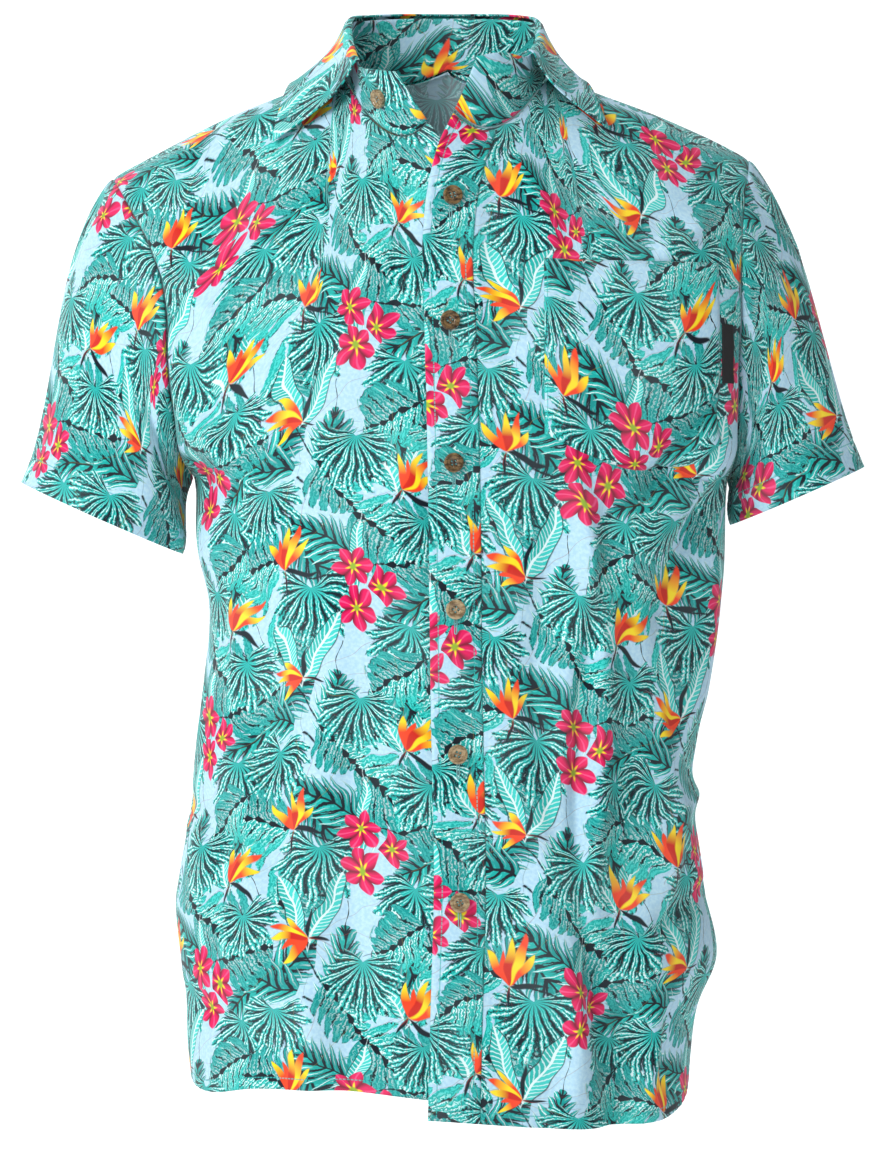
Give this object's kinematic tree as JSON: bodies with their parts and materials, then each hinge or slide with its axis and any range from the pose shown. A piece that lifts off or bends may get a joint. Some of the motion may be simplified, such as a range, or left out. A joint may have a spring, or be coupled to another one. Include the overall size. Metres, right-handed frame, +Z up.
{
  "type": "hawaiian shirt",
  "caption": "Men's short-sleeved buttoned shirt in printed cotton with a spread collar and a chest pocket, filled out and open at neck, cuffs and hem.",
  "frame": {"origin": "in the middle of the neck opening, level with the tops of the shoulder seams, where the wearer's neck and shoulders hold the shirt", "axes": "+Z up through the neck, -Y out of the buttoned front, +X towards the wearer's left"},
  "size_m": [0.579, 0.256, 0.7588],
  "materials": {
    "print_cotton": "soft printed cotton, matt, with a tropical print in teal, navy, pink and pale blue",
    "woven_tab": "matt black woven tape, bare",
    "button": "brown horn-coloured, softly polished"
  },
  "bodies": {
    "root": {"right_front": "print_cotton", "left_front": "print_cotton", "back": "print_cotton", "right_sleeve": "print_cotton", "left_sleeve": "print_cotton", "collar_stand": "print_cotton", "collar_leaf": "print_cotton", "placket": "print_cotton", "pocket": "print_cotton", "side_tab": "woven_tab", "button_stand": "button", "button_1": "button", "button_2": "button", "button_3": "button", "button_4": "button", "button_5": "button", "button_6": "button"}
  },
  "joints": []
}
